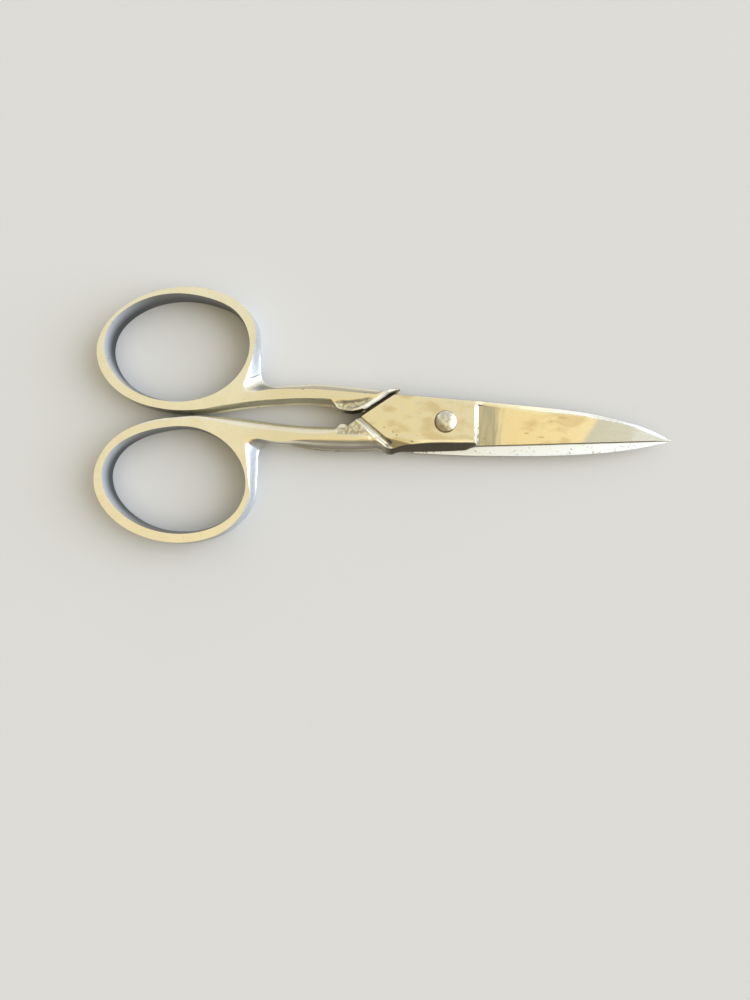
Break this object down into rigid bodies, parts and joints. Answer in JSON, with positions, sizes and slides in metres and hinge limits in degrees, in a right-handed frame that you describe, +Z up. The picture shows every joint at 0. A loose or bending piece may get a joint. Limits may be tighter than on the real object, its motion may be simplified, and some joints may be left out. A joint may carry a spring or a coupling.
{
  "type": "thread snips",
  "caption": "Small forged steel thread snips with oval finger rings, straight pointed blades and a domed rivet at the pivot, shown closed and lying flat.",
  "frame": {"origin": "on the pivot's axis, at the centre of the rivet's lower flat, at the height of the surface that the snips lie on", "axes": "+X along the closed blades towards the tips, +Y towards the rear half's finger ring, +Z up along the pivot, out of the rivet's domed head"},
  "size_m": [0.0894, 0.0396, 0.0045],
  "materials": {
    "forged_steel": "ground and worn, with pits and a warm patina",
    "rivet_steel": "hammered dome, dulled"
  },
  "bodies": {
    "rear_body": {"rear_half": "forged_steel", "rivet": "rivet_steel"},
    "front_body": {"front_half": "forged_steel"}
  },
  "joints": [
    {"name": "pivot", "type": "hinge", "parent": "rear_body", "child": "front_body", "pos_m": [0, 0, 0.00225], "axis": [0, 0, 1], "range_deg": [0, 95]}
  ]
}
